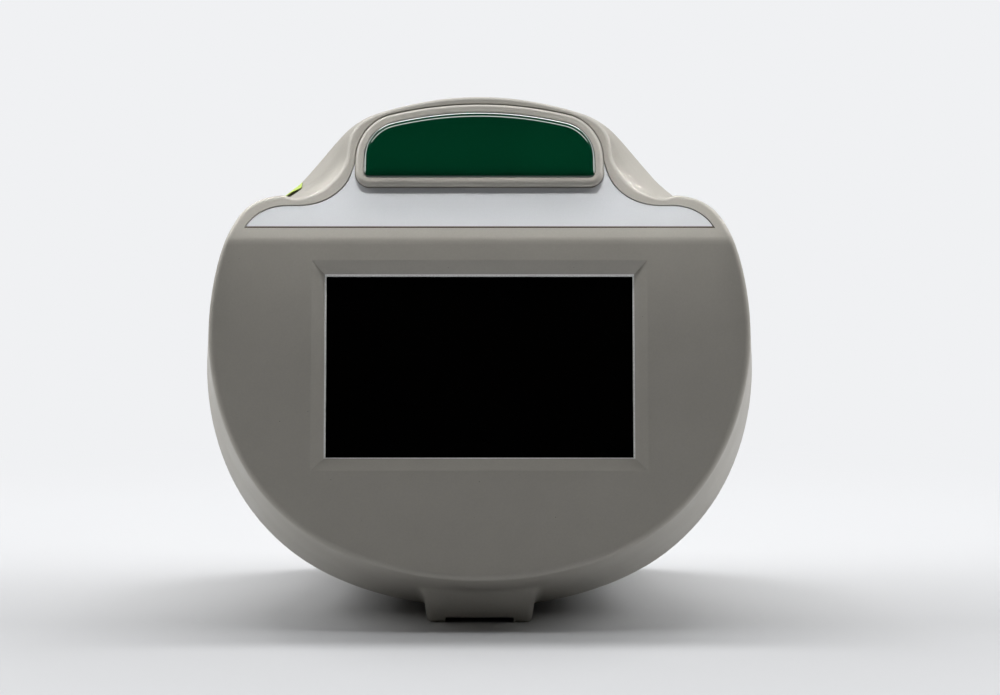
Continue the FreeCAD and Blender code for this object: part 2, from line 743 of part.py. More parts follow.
def display_bracket():
    front = bracket_front()
    plate = display_layer(LCD_W + 6, LCD_H - 4, front, front + BRACKET)
    window = display_layer(LCD_W - 34, LCD_H - 30, front - 1, front + 3)
    tabs = []
    holes = [window]
    u0 = -SCREEN_DROP
    for sx in (-1, 1):
        for su in (-1, 1):
            x, u = sx * BRACKET_POST[0], u0 + su * BRACKET_POST[1]
            low, high = sorted((u + su * 4.5, u0 + su * 30))
            tabs.append(face_block(x - 4.5, x + 4.5, front, front + BRACKET, low, high))
            holes.append(post(x, u, front - 1, front + 3, 1.35))
    return plate.fuse(tabs).removeSplitter().cut(holes)


def face_screw(x, u, seat, depth):
    """A pan-head screw into the face, its head on a seat."""
    shank = post(x, u, seat - depth, seat + 0.5, 0.98)
    head = Part.makeCylinder(2.1, 1.5, Vector(x, seat, u), Vector(0, 1, 0))
    edge = [e for e in head.Edges if isinstance(e.Curve, Part.Circle)
            and abs(e.Curve.Center.y - seat - 1.5) < 0.01]
    head = head.makeFillet(0.7, edge)
    cross = block(x - 1.1, x + 1.1, seat + 0.8, seat + 3, u - 0.22, u + 0.22)
    cross = cross.fuse(block(x - 0.22, x + 0.22, seat + 0.8, seat + 3, u - 1.1, u + 1.1))
    return shank.fuse(face_frame(head.cut(cross)))


def display_screws():
    u0 = -SCREEN_DROP
    seat = bracket_front() + BRACKET
    return [face_screw(sx * BRACKET_POST[0], u0 + su * BRACKET_POST[1], seat, 5.0)
            for sx in (-1, 1) for su in (-1, 1)]


def main_board():
    board = display_layer(BOARD_W, BOARD_H, BOARD_BACK, BOARD_BACK + BOARD)
    u0 = -SCREEN_DROP
    holes = [post(sx * BOARD_POST[0], u0 + su * BOARD_POST[1], BOARD_BACK - 1, BOARD_BACK + 3, 1.3)
             for sx in (-1, 1) for su in (-1, 1)]
    return board.cut(holes)


def board_screws():
    u0 = -SCREEN_DROP
    seat = BOARD_BACK + BOARD
    return [face_screw(sx * BOARD_POST[0], u0 + su * BOARD_POST[1], seat, 6.0)
            for sx in (-1, 1) for su in (-1, 1)]


def board_components():
    """Processor, memory, power stage, connectors and capacitors."""
    seat = BOARD_BACK + BOARD
    u0 = -SCREEN_DROP
    sizes = [(-30, 4, 21, 21, 2.2), (2, 12, 14, 10, 1.2), (2, -6, 14, 10, 1.2),
             (34, 8, 12, 12, 4.0), (52, -10, 9, 16, 5.5), (-56, -8, 8, 24, 6.0)]
    solids = [face_block(x - w / 2, x + w / 2, seat, seat + high, u0 + u - h / 2, u0 + u + h / 2)
              for x, u, w, h, high in sizes]
    for step in range(3):
        solids.append(post(24 + 9 * step, u0 - 18, seat, seat + 8.5, 3.1))
    return solids


# ---- ports on the rear wall
def port_board():
    board = rounded_block(-52, 52, FACE_Y + PORT_POSTS[0] - 4, REAR_Y - WALL - 1.2,
                          PORT_Z - BOARD, PORT_Z, 5.0, "z")
    return board.cut([rod_z(x * 48, FACE_Y + y, 0, 40, 1.3) for x in (-1, 1) for y in PORT_POSTS])


def screw_z(x, y, seat, depth):
    shank = rod_z(x, y, seat - depth, seat + 0.5, 0.98)
    head = rod_z(x, y, seat, seat + 1.5, 2.1)
    edge = [e for e in head.Edges if isinstance(e.Curve, Part.Circle)
            and abs(e.Curve.Center.z - seat - 1.5) < 0.01]
    head = head.makeFillet(0.7, edge)
    cross = block(x - 1.1, x + 1.1, y - 0.22, y + 0.22, seat + 0.8, seat + 3)
    cross = cross.fuse(block(x - 0.22, x + 0.22, y - 1.1, y + 1.1, seat + 0.8, seat + 3))
    return shank.fuse(head.cut(cross))


def port_screws():
    return [screw_z(x * 48, y, PORT_Z, 6.0) for x in (-1, 1)
            for y in (FACE_Y + PORT_POSTS[0], FACE_Y + PORT_POSTS[1])]


def socket(index, depth, hole_w, hole_h, hole_z, hole_d):
    x, width, height = socket_sizes()[index]
    body = rounded_block(x - width / 2, x + width / 2, REAR_Y - depth, REAR_Y + 0.4, PORT_Z,
                         PORT_Z + height, 0.5, "y")
    hole = block(x - hole_w / 2, x + hole_w / 2, REAR_Y - hole_d, REAR_Y + 2,
                 PORT_Z + hole_z, PORT_Z + hole_z + hole_h)
    return body.cut(hole)


def network_socket():
    x = socket_sizes()[1][0]
    body = socket(1, 16.0, 11.8, 8.0, 2.2, 12.0)
    key = block(x - 3.2, x + 3.2, REAR_Y - 12, REAR_Y + 2, PORT_Z + 9, PORT_Z + 12)
    return body.cut(key)


def usb_sockets():
    solids = []
    for index in (2, 3):
        x = socket_sizes()[index][0]
        shell = socket(index, 14.0, 12.2, 5.0, 0.8, 13.0)
        tongue = block(x - 5.6, x + 5.6, REAR_Y - 13.5, REAR_Y - 1.5, PORT_Z + 2.9, PORT_Z + 4.7)
        solids.append(shell.fuse(tongue))
    return solids


def power_inlet():
    x, width, height = socket_sizes()[0]
    middle = PORT_Z + height / 2
    body = rounded_block(x - width / 2, x + width / 2, REAR_Y - 14, REAR_Y + 0.4, PORT_Z,
                         PORT_Z + height, 0.8, "y")
    body = body.cut(rod_y(x, middle, REAR_Y - 10, REAR_Y + 2, 3.2))
    return body.fuse(rod_y(x, middle, REAR_Y - 11, REAR_Y - 0.8, 1.05))


def switch_body():
    x, z = SWITCH_X, SWITCH_Z
    bezel = rounded_block(x - SWITCH_W / 2 - 1.3, x + SWITCH_W / 2 + 1.3, REAR_Y, REAR_Y + BEZEL,
                          z - SWITCH_H / 2 - 1.3, z + SWITCH_H / 2 + 1.3, 1.2, "y")
    front = [e for e in bezel.Edges if e.BoundBox.YMin > REAR_Y + BEZEL - 0.01]
    bezel = bezel.makeFillet(0.7, front)
    body = block(x - SWITCH_W / 2 + 0.15, x + SWITCH_W / 2 - 0.15, REAR_Y - 12, REAR_Y + 0.5,
                 z - SWITCH_H / 2 + 0.15, z + SWITCH_H / 2 - 0.15)
    tabs = [block(x - 3.2, x - 2.4, REAR_Y - 19, REAR_Y - 11, z - 6, z - 1),
            block(x + 2.4, x + 3.2, REAR_Y - 19, REAR_Y - 11, z - 6, z - 1)]
    well = block(x - 5.5, x + 5.5, REAR_Y - 8.5, REAR_Y + 4, z - 8.5, z + 8.5)
    pins = rod_x(x - 6.3, x + 6.3, REAR_Y + BEZEL - 3.6, z, 1.08)
    return bezel.fuse([body] + tabs).removeSplitter().cut([well, pins])


def rod_x(x0, x1, y, z, radius):
    return Part.makeCylinder(radius, x1 - x0, Vector(x0, y, z), Vector(1, 0, 0))


def switch_rocker():
    x, z = SWITCH_X, SWITCH_Z
    y = REAR_Y + BEZEL
    pivot = Vector(x, y - ROCKER_PIVOT, z)
    tip_y, tip_z = pivot.y + ROCKER_TIP[0], ROCKER_TIP[1]
    profile = [Vector(x - 5.2, tip_y, z - tip_z), Vector(x - 5.2, y + 0.9, z),
               Vector(x - 5.2, tip_y, z + tip_z), Vector(x - 5.2, y - 2.0, z + 7.0),
               Vector(x - 5.2, y - 5.6, z + 1.8), Vector(x - 5.2, y - 5.6, z - 1.8),
               Vector(x - 5.2, y - 2.0, z - 7.0)]
    body = prism(profile, Vector(10.4, 0, 0))
    ends = [e for e in body.Edges if e.BoundBox.YMin > y + 0.5 and e.BoundBox.XLength < 0.1]
    body = body.makeFillet(ROCKER_ROUND, ends)
    body = body.fuse(rod_x(x - 6.15, x + 6.15, pivot.y, z, 1.0)).removeSplitter()
    body.rotate(pivot, Vector(1, 0, 0), SWITCH_ANGLE)
    return body


# ---- drawer
def drawer_front():
    solid = drawer_outline(0, FACE_Y - 10, FACE_Y + 80).common(brow_slab(-DRAWER_PROUD, DRAWER_SUNK))
    solid = solid.makeFillet(DRAWER_ROUND, outer_face(solid).Edges)
    seat = badge_blank(BADGE_BORDER, -DRAWER_PROUD + BADGE_RECESS, 5)
    z = TRAY_Z + TRAY_SCREW_Z
    holes = [rod_y(x, z, brow_y(z, DRAWER_SUNK) - 1.8, FACE_Y + 80, 0.95) for x in TRAY_SCREW_X]
    return biggest(solid.cut([seat] + holes))


def drawer_badge():
    solid = badge_blank(BADGE_BORDER + 0.15, -DRAWER_PROUD + BADGE_RECESS, BADGE)
    return solid.makeFillet(BADGE_ROUND, outer_face(solid).Edges)


def drawer_tray():
    """A shallow carrier with runners, a cassette nest and a finger scoop."""
    half = TRAY_W / 2
    top = TRAY_Z + TRAY_H
    body = block(-half, half, FACE_Y, FACE_Y + TRAY_END, TRAY_Z, top)
    runners = [block(half - 1, half + RUNNER, FACE_Y + 42, FACE_Y + TRAY_END,
                     TRAY_Z + 2.5, TRAY_Z + 2.5 + RUNNER_H)]
    body = body.fuse(runners + [mirrored(runners[0])])
    nest_w = CASSETTE_W / 2 + 0.5
    nest = rounded_block(-nest_w, nest_w, FACE_Y + NEST_Y, FACE_Y + NEST_Y + CASSETTE_L + 1,
                         top - CASSETTE_H - 0.5, top + 5, 2.0, "z")
    scoop = rod_x(-half + 6, half - 6, FACE_Y + NEST_Y + 12, top + 4.5, 9.0)
    cuts = [nest, scoop, brow_slab(-60, DRAWER_SUNK)]
    for sign in (-1, 1):
        x0, x1 = sorted((sign * (nest_w + 3), sign * (half - TRAY_WALL)))
        cuts.append(rounded_block(x0, x1, FACE_Y + NEST_Y + 26, FACE_Y + TRAY_END - 14,
                                  TRAY_Z + 2, top + 5, 2.0, "z"))
        x0, x1 = sorted((sign * 15, sign * 25))
        cuts.append(block(x0, x1, FACE_Y + 38, FACE_Y + 43.5, TRAY_Z + 1.2, top + 5))
    for x in TRAY_SCREW_X:
        cuts.append(rod_y(x, TRAY_Z + TRAY_SCREW_Z, FACE_Y, FACE_Y + 40, 1.2))
    cuts.append(rod_y(0, TRAY_Z + 4, FACE_Y + TRAY_END - 4.2, FACE_Y + TRAY_END + 1, 3.05))
    window = rounded_block(-8, 8, FACE_Y + NEST_Y + 24, FACE_Y + NEST_Y + 62, TRAY_Z - 1,
                           TRAY_Z + 4, 2.0, "z")
    cuts.append(window)
    flag = block(16.4, 17.6, FACE_Y + TRAY_END - 3, FACE_Y + TRAY_END + 4, TRAY_Z + 0.4,
                 TRAY_Z + 4.6)
    return biggest(body.cut(cuts).fuse(flag))


def tray_screws():
    solids = []
    z = TRAY_Z + TRAY_SCREW_Z
    for x in TRAY_SCREW_X:
        shank = rod_y(x, z, brow_y(z, DRAWER_SUNK) - 1.6, FACE_Y + 38.5, 0.93)
        head = rod_y(x, z, FACE_Y + 38, FACE_Y + 39.6, 2.2)
        cross = block(x - 1.1, x + 1.1, FACE_Y + 38.8, FACE_Y + 41, z - 0.22, z + 0.22)
        cross = cross.fuse(block(x - 0.22, x + 0.22, FACE_Y + 38.8, FACE_Y + 41, z - 1.1, z + 1.1))
        solids.append(shank.fuse(head.cut(cross)))
    return solids


def drawer_magnet():
    return rod_y(0, TRAY_Z + 4, FACE_Y + TRAY_END - 4.2, FACE_Y + TRAY_END, 3.0)


def rail(sign):
    """A channel that holds a tray runner, screwed to the deck."""
    inner = TRAY_W / 2 + 0.4
    x0, x1 = inner, inner + 7.0
    y0, y1 = FACE_Y + 40.0, FACE_Y + TRAY_END + 1.0
    body = block(x0, x1, y0, y1, DECK_TOP, TRAY_Z + 8.5)
    slot = block(x0 - 1, TRAY_W / 2 + RUNNER + SLIDE_FIT, y0 - 1, y1 + 1,
                 TRAY_Z + 2.5 - SLIDE_FIT, TRAY_Z + 2.5 + RUNNER_H + SLIDE_FIT)
    lead = block(x0 - 1, x0 + 0.8, y0 - 1, y0 + 3, TRAY_Z - 2, TRAY_Z + 10)
    solid = body.cut([slot, lead])
    return solid if sign > 0 else mirrored(solid)


def drawer_deck():
    half = DECK_W / 2
    plate = rounded_block(-half, half, FACE_Y + DECK_FRONT, REAR_Y - WALL - 0.8,
                          DECK_TOP - DECK, DECK_TOP, 4.0, "z")
    window = rounded_block(-13.5, 13.5, FACE_Y + NEST_Y + 6, FACE_Y + NEST_Y + 74,
                           DECK_TOP - 5, DECK_TOP + 1, 2.0, "z")
    cuts = [window]
    for x, y in deck_screws_at():
        cuts.append(rod_z(x, y, DECK_TOP - 5, DECK_TOP + 1, 1.3))
    return plate.cut(cuts)


def deck_screws():
    return [screw_z(x, y, DECK_TOP, 8.0) for x, y in deck_screws_at()]


def heater_plate():
    """Fills the window of the deck, its flange under it."""
    low = DECK_TOP - DECK
    upper = rounded_block(-13.3, 13.3, FACE_Y + NEST_Y + 6.2, FACE_Y + NEST_Y + 73.8,
                          low - 1.5, DECK_TOP + 0.3, 1.8, "z")
    flange = rounded_block(-17, 17, FACE_Y + NEST_Y + 2, FACE_Y + NEST_Y + 78,
                           low - 1.5, low, 3.0, "z")
    return upper.fuse(flange).removeSplitter()


def heater_mat():
    low = DECK_TOP - DECK - 1.5
    return rounded_block(-12, 12, FACE_Y + NEST_Y + 8, FACE_Y + NEST_Y + 72, low - 0.8, low,
                         2.0, "z")


def catch_plate():
    y = FACE_Y + TRAY_END + 0.3
    plate = block(-6, 6, y, y + 1, DECK_TOP, TRAY_Z + 8)
    return plate.fuse(block(-6, 6, y, y + 4.5, DECK_TOP, DECK_TOP + 1.2)).removeSplitter()


def position_sensor():
    """A fork that the flag of the tray enters."""
    y = FACE_Y + TRAY_END
    body = block(13.4, 20.6, y + 1, y + 6, DECK_TOP, TRAY_Z + 5.5)
    return body.cut(block(15.6, 18.4, y, y + 4.6, TRAY_Z - 0.4, TRAY_Z + 8))


def optical_head():
    """A bridge over the tray with the reading window underneath."""
    low = TRAY_Z + TRAY_H + HEAD_GAP
    y = FACE_Y + HEAD_Y
    inner = TRAY_W / 2 + 8.0
    section_points = [Vector(-41, y, DECK_TOP), Vector(-inner, y, DECK_TOP),
                      Vector(-inner, y, low), Vector(inner, y, low), Vector(inner, y, DECK_TOP),
                      Vector(41, y, DECK_TOP), Vector(41, y, low + 1.5),
                      Vector(30, y, low + HEAD_H), Vector(-30, y, low + HEAD_H),
                      Vector(-41, y, low + 1.5)]
    body = prism(section_points, Vector(0, HEAD_L, 0))
    well = rounded_block(-15, 15, y + 4, y + HEAD_L - 4, low - 1, low + HEAD_H - 1.4, 1.5, "z")
    bore = rod_y(0, low + HEAD_H / 2, y + HEAD_L - 5, y + HEAD_L + 2, 2.6)
    return body.cut([well, bore])


def led_bars():
    low = TRAY_Z + TRAY_H + HEAD_GAP
    y = FACE_Y + HEAD_Y + 6
    top = low + HEAD_H - 1.4
    bar = block(-14.5, -11, y, y + HEAD_L - 12, top - 1.2, top)
    return both(bar)


def lens_barrel():
    z = TRAY_Z + TRAY_H + HEAD_GAP + HEAD_H / 2
    y = FACE_Y + HEAD_Y + HEAD_L
    barrel = rod_y(0, z, y, y + 9, 3.1).fuse(rod_y(0, z, y - 4, y + 1, 2.5))
    for step in range(3):
        ring = rod_y(0, z, y + 2 + 2 * step, y + 2.8 + 2 * step, 4)
        barrel = barrel.cut(ring.cut(rod_y(0, z, y, y + 12, 2.7)))
    return barrel


def sensor_board():
    z = TRAY_Z + TRAY_H + HEAD_GAP + HEAD_H / 2
    y = FACE_Y + HEAD_Y + HEAD_L + 9
    return rounded_block(-12, 12, y, y + 1.2, DECK_TOP + 9.6, z + 4.0, 1.0, "y")


# ---- fasteners, pads and sticker
def housing_screws():
    solids = []
    for x, z in (COLUMN_LOW, COLUMN_HIGH):
        seat = seam_y(z) + 5.0
        head = rod_y(x * STRETCH_X, z, seat, seat + SCREW_HEAD, SCREW_HEAD_R)
        hex_points = []
        for step in range(6):
            turn = math.radians(60 * step)
            hex_points.append(Vector(x * STRETCH_X + 1.3 * math.cos(turn), seat + 0.7,
                                     z + 1.3 * math.sin(turn)))
        head = head.cut(prism(hex_points, Vector(0, 5, 0)))
        shank = rod_y(x * STRETCH_X, z, seat - 17, seat + 0.4, SCREW_R - 0.04)
        solids += both(head.fuse(shank))
    return solids


def rear_foot_pads():
    pads = []
    for x in (-PAD_X, PAD_X):
        pad = rod_z(x, FACE_Y + PAD_Y, 0, PAD_H, PAD_R)
        rim = [e for e in pad.Edges if isinstance(e.Curve, Part.Circle)
               and abs(e.Curve.Center.z) < 0.01]
        pads.append(pad.makeFillet(0.6, rim))
    return pads


def inspection_sticker():
    """A small sticker that follows the left shoulder behind the rim."""
    skin = front_skin(-0.28, PARTING - 12, PARTING - 1)
    skin = skin.cut(front_skin(-0.05, PARTING - 13, PARTING))
    return biggest(skin.common(face_block(*STICKER_X, 0, PARTING - 2, 40, 90)))


def export(name, shape):
    solids = shape if isinstance(shape, list) else [shape]
    solids = [solid for item in solids for solid in item.Solids]
    whole = solids[0] if len(solids) == 1 else Part.makeCompound(solids)
    whole.exportStep("parts/" + name + ".step")
    box = whole.BoundBox
    size = [round(value, 1) for value in (box.XLength, box.YLength, box.ZLength)]
    print(name, len(solids), "valid" if whole.isValid() else "NOT VALID", size)


PARTS = [("front_shell", front_shell), ("rear_shell", rear_shell), ("label_panel", label_panel),
         ("display_gasket", display_gasket), ("touch_panel", touch_panel),
         ("lcd_module", lcd_module), ("display_bracket", display_bracket),
         ("display_screws", display_screws), ("main_board", main_board),
         ("board_components", board_components), ("board_screws", board_screws),
         ("port_board", port_board), ("port_screws", port_screws),
         ("network_socket", network_socket), ("usb_sockets", usb_sockets),
         ("power_inlet", power_inlet), ("switch_body", switch_body),
         ("switch_rocker", switch_rocker), ("drawer_front", drawer_front),
         ("drawer_badge", drawer_badge), ("drawer_tray", drawer_tray),
         ("drawer_magnet", drawer_magnet), ("tray_screws", tray_screws),
         ("drawer_rail_left", lambda: rail(-1)), ("drawer_rail_right", lambda: rail(1)),
         ("drawer_deck", drawer_deck), ("deck_screws", deck_screws),
         ("heater_plate", heater_plate), ("heater_mat", heater_mat),
         ("catch_plate", catch_plate), ("position_sensor", position_sensor),
         ("optical_head", optical_head), ("led_bars", led_bars), ("lens_barrel", lens_barrel),
         ("sensor_board", sensor_board), ("housing_screws", housing_screws),
         ("rear_foot_pads", rear_foot_pads), ("inspection_sticker", inspection_sticker)]

for part_name, maker in PARTS:
    export(part_name, maker())
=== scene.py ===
import json
import math

import bpy
import numpy as np
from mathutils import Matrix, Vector


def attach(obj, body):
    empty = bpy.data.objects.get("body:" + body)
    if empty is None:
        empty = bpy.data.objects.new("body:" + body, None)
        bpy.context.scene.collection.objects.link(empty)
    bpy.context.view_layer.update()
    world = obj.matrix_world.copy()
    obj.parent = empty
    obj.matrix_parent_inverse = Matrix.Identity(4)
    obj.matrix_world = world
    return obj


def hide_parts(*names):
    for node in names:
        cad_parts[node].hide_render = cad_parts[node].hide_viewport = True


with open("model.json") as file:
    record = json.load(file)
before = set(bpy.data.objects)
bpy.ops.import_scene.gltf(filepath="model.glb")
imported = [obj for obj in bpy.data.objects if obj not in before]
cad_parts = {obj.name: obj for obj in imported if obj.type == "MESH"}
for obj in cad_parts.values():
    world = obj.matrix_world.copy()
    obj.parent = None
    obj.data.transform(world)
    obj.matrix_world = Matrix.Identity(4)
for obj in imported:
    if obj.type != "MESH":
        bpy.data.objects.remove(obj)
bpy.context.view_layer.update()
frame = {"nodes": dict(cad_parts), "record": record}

NODES = frame["nodes"]

# The face leans back by this angle and the brow, with the badge on it, by more.
FACE_LEAN = math.radians(16)
BROW_LEAN = math.radians(36)
FACE_CENTRE = Vector((0.0, -0.0658, 0.1022))

# The window's opening in the face, the painted highlight on the lip round it, and the width over
# which that fades.
WINDOW_W = 0.1093
WINDOW_H = 0.066
HIGHLIGHT_LIP_WIDTH = 0.0001
HIGHLIGHT_LIP_FADE = 0.0001

# The painted shade of the gap along the label's foot ends this far above the label's lowest point.
PAINTED_SHADE_HEIGHT = 0.00085
PAINTED_SHADE_FADE = 0.0002


# ---------------------------------------------------------------- node helpers
def srgb(r, g, b):
    """A colour written as 0 to 255 screen values, as linear light."""
    out = []
    for value in (r, g, b):
        c = value / 255
        out.append(c / 12.92 if c <= 0.04045 else ((c + 0.055) / 1.055) ** 2.4)
    return (*out, 1.0)


def leaning_axes(lean):
    """Across, up along and square out of a front surface that leans back by an angle."""
    across = Vector((1, 0, 0))
    up = Vector((0, math.sin(lean), math.cos(lean)))
    out = Vector((0, -math.cos(lean), math.sin(lean)))
    return across, up, out


class NodeTree:
    """Short names for the nodes that materials and the world share."""

    def __init__(self, owner):
        owner.use_nodes = True
        self.tree = owner.node_tree
        self.tree.nodes.clear()

    def link(self, out, into):
        self.tree.links.new(out, into)

    def node(self, kind, **settings):
        node = self.tree.nodes.new("ShaderNode" + kind)
        for key, value in settings.items():
            setattr(node, key, value)
        return node

    def put(self, node, name, value):
        """Sets a socket to a constant, or links it to another node's output."""
        if isinstance(value, (int, float, tuple)):
            node.inputs[name].default_value = value
        else:
            self.link(value, node.inputs[name])

    def ramp(self, value, low, high, out_low=0.0, out_high=1.0):
        """A smooth step from out_low, where value is low, to out_high, where it is high."""
        node = self.node("MapRange", interpolation_type="SMOOTHSTEP", clamp=True)
        self.put(node, "Value", value)
        self.put(node, "From Min", low)
        self.put(node, "From Max", high)
        self.put(node, "To Min", out_low)
        self.put(node, "To Max", out_high)
        return node.outputs[0]

    def math(self, how, a, b=0.0):
        node = self.node("Math", operation=how)
        for k, value in enumerate((a, b)):
            self.put(node, k, value)
        return node.outputs[0]


# The colour sockets of the Mix node, which shares its names among several types of value.
MIX_FIRST = 6
MIX_SECOND = 7
MIX_RESULT = 2


class Shader(NodeTree):
    """A material, with short names for the nodes used in it. Patterns are in metres."""

    def __init__(self, name, color, roughness, **sockets):
        self.material = bpy.data.materials.new(name)
        super().__init__(self.material)
        self.output = self.tree.nodes.new("ShaderNodeOutputMaterial")
        self.bsdf = self.tree.nodes.new("ShaderNodeBsdfPrincipled")
        self.link(self.bsdf.outputs[0], self.output.inputs["Surface"])
        self.position = self.tree.nodes.new("ShaderNodeTexCoord").outputs["Object"]
        self.bsdf.inputs["Base Color"].default_value = color
        self.bsdf.inputs["Roughness"].default_value = roughness
        for socket, value in sockets.items():
            self.bsdf.inputs[socket.replace("_", " ")].default_value = value
        self.color = color
        self.bumped = None

    def stretched(self, x, y, z, turn=(0, 0, 0)):
        """The position with each axis scaled, for grain that runs one way."""
        node = self.node("Mapping")
        self.link(self.position, node.inputs["Vector"])
        node.inputs["Scale"].default_value = (x, y, z)
        node.inputs["Rotation"].default_value = turn
        return node.outputs[0]

    def noise(self, size, detail=2.0, rough=0.5, at=None):
        """Noise from 0 to 1 whose lumps are about size metres across."""
        node = self.node("TexNoise")
        self.link(at or self.position, node.inputs["Vector"])
        node.inputs["Scale"].default_value = 1 / size
        node.inputs["Detail"].default_value = detail
        node.inputs["Roughness"].default_value = rough
        return node.outputs["Fac"]

    def cells(self, size, feature="F1", output="Distance", random=1.0):
        """Cells about size metres across: the distance from their seeds, or a colour for each."""
        node = self.node("TexVoronoi", feature=feature)
        self.link(self.position, node.inputs["Vector"])
        node.inputs["Scale"].default_value = 1 / size
        node.inputs["Randomness"].default_value = random
        return node.outputs[output]

    def along(self, axis):
        """How far the position lies along an axis."""
        node = self.node("VectorMath", operation="DOT_PRODUCT")
        self.link(self.position, node.inputs[0])
        node.inputs[1].default_value = axis
        return node.outputs["Value"]

    def recolor(self, factor, color, blend_type="MIX"):
        """Blends a colour into what the surface has so far."""
        node = self.node("Mix", data_type="RGBA", blend_type=blend_type)
        self.put(node, "Factor", factor)
        self.put(node, MIX_FIRST, self.color)
        self.put(node, MIX_SECOND, color)
        self.color = node.outputs[MIX_RESULT]
        self.link(self.color, self.bsdf.inputs["Base Color"])

    def tint(self, factor, color):
        """Paints color over what the surface has so far, where factor is 1."""
        self.recolor(factor, color)

    def vary(self, value, dark, light):
        """Multiplies the colour by a factor from dark to light as value goes from 0 to 1."""
        shade = self.ramp(value, 0.25, 0.75, dark, light)
        grey = self.node("CombineColor")
        for k in range(3):
            self.link(shade, grey.inputs[k])
        self.recolor(1.0, grey.outputs[0], "MULTIPLY")

    def rough(self, value, low, high):
        """Lets the roughness run from low to high as value goes from 0 to 1."""
        self.link(self.ramp(value, 0.25, 0.75, low, high), self.bsdf.inputs["Roughness"])

    def bump(self, height, depth, strength=1.0):
        """Raises the surface by depth metres where height is 1."""
        node = self.node("Bump")
        node.inputs["Strength"].default_value = strength
        node.inputs["Distance"].default_value = depth
        self.link(height, node.inputs["Height"])
        if self.bumped:
            self.link(self.bumped, node.inputs["Normal"])
        self.bumped = node.outputs[0]
        self.link(self.bumped, self.bsdf.inputs["Normal"])

    def soften(self, radius):
        """Gives sharp edges the small round that a moulding or a folded sheet has."""
        node = self.node("Bevel", samples=4)
        node.inputs["Radius"].default_value = radius
        self.bumped = node.outputs[0]
        self.link(self.bumped, self.bsdf.inputs["Normal"])
        return self.edges(node.outputs[0])

    def edges(self, rounded):
        """Near 1 on an edge, where the rounded normal leaves the surface's own."""
        own = self.node("NewGeometry").outputs["True Normal"]
        dot = self.node("VectorMath", operation="DOT_PRODUCT")
        self.link(rounded, dot.inputs[0])
        self.link(own, dot.inputs[1])
        return self.ramp(dot.outputs["Value"], 0.995, 0.9)


# ------------------------------------------------------------------- materials
def moulded(name, color, grain=0.00035, edge_tone=None, specks=True, roughness=(0.42, 0.56)):
    """Spark-textured moulded plastic: fine grain, faint mottling, a few dark specks."""
    s = Shader(name, color, 0.5, Specular_IOR_Level=0.45)
    edge = s.soften(0.00035)
    s.vary(s.noise(0.014, 3, 0.55), 0.975, 1.02)
    s.vary(s.noise(0.0007, 2, 0.6), 0.975, 1.02)
    # a lighter colour on the sharp edges that the Bevel node finds
    if edge_tone:
        s.tint(s.math("MULTIPLY", edge, 0.35), edge_tone)
    if specks:
        near = s.cells(0.0052)
        pick = s.cells(0.0052, output="Color")
        some = s.math("GREATER_THAN", pick, 0.62)
        dot = s.ramp(near, 0.045, 0.025)
        s.tint(s.math("MULTIPLY", s.math("MULTIPLY", dot, some), 0.55), srgb(70, 66, 60))
    s.rough(s.noise(0.022, 4, 0.6), *roughness)
    s.bump(s.noise(grain, 2, 0.6), 0.000012)
    s.bump(s.noise(0.006, 1, 0.4), 0.00002, 0.5)
    return s


def past_window(s, axis, size):
    """How far the position lies outside the window along an axis, from the panel's middle."""
    spots = [v.co.dot(axis) for v in NODES["touch_panel"].data.vertices]
    middle = (min(spots) + max(spots)) / 2
    gap = s.math("ABSOLUTE", s.math("SUBTRACT", s.along(axis), middle))
    return s.math("SUBTRACT", gap, size / 2)


def shell_plastic():
    """The housing's plastic, with a painted highlight on the thin lip where it meets the display.
    """
    s = moulded("shell_plastic", srgb(184, 180, 171), edge_tone=srgb(200, 196, 188))
    across, up, out = leaning_axes(FACE_LEAN)
    gap = s.math("MAXIMUM", past_window(s, across, WINDOW_W), past_window(s, up, WINDOW_H))
    glass = min(v.co.dot(out) for v in NODES["touch_panel"].data.vertices)
    shown = s.math("GREATER_THAN", s.along(out), glass)
    # painted highlight: the lip round the window and the opening's walls in front of the glass are
    # painted near white for the light caught on that edge
    s.tint(s.math("MULTIPLY", s.ramp(gap, HIGHLIGHT_LIP_WIDTH + HIGHLIGHT_LIP_FADE, HIGHLIGHT_LIP_WIDTH), shown), srgb(255, 255, 253))
    return s


def drawer_plastic():
    return moulded("drawer_plastic", srgb(187, 183, 174), edge_tone=srgb(205, 201, 193))


def label_film():
    """White polycarbonate with a velvet finish and a painted shade line along its foot."""
    s = Shader("label_film", srgb(232, 234, 237), 0.5, Specular_IOR_Level=0.5)
    foot = min(v.co.z for v in NODES["label_panel"].data.vertices)
    place = s.node("SeparateXYZ")
    s.link(s.position, place.inputs[0])
    line = foot + PAINTED_SHADE_HEIGHT
    # painted shade: a dark band along the label's foot stands in for the shadow in the gap at its
    # edge
    s.tint(s.ramp(place.outputs["Z"], line + PAINTED_SHADE_FADE, line), srgb(84, 68, 58))
    s.vary(s.noise(0.02, 2, 0.5), 0.985, 1.01)
    s.vary(s.noise(0.0004, 1, 0.5), 0.985, 1.01)
    s.rough(s.noise(0.01, 3, 0.6), 0.34, 0.5)
    s.bump(s.noise(0.00012, 1, 0.5), 0.000004)
    s.bump(s.noise(0.018, 1, 0.3), 0.00005, 0.6)
    return s


def gasket_foam():
    """Pale closed-cell foam."""
    s = Shader("gasket_foam", srgb(244, 245, 242), 0.85)
    s.vary(s.cells(0.0004), 0.85, 1.05)
    s.bump(s.cells(0.0004), 0.00005)
    s.rough(s.noise(0.003), 0.75, 0.92)
    return s


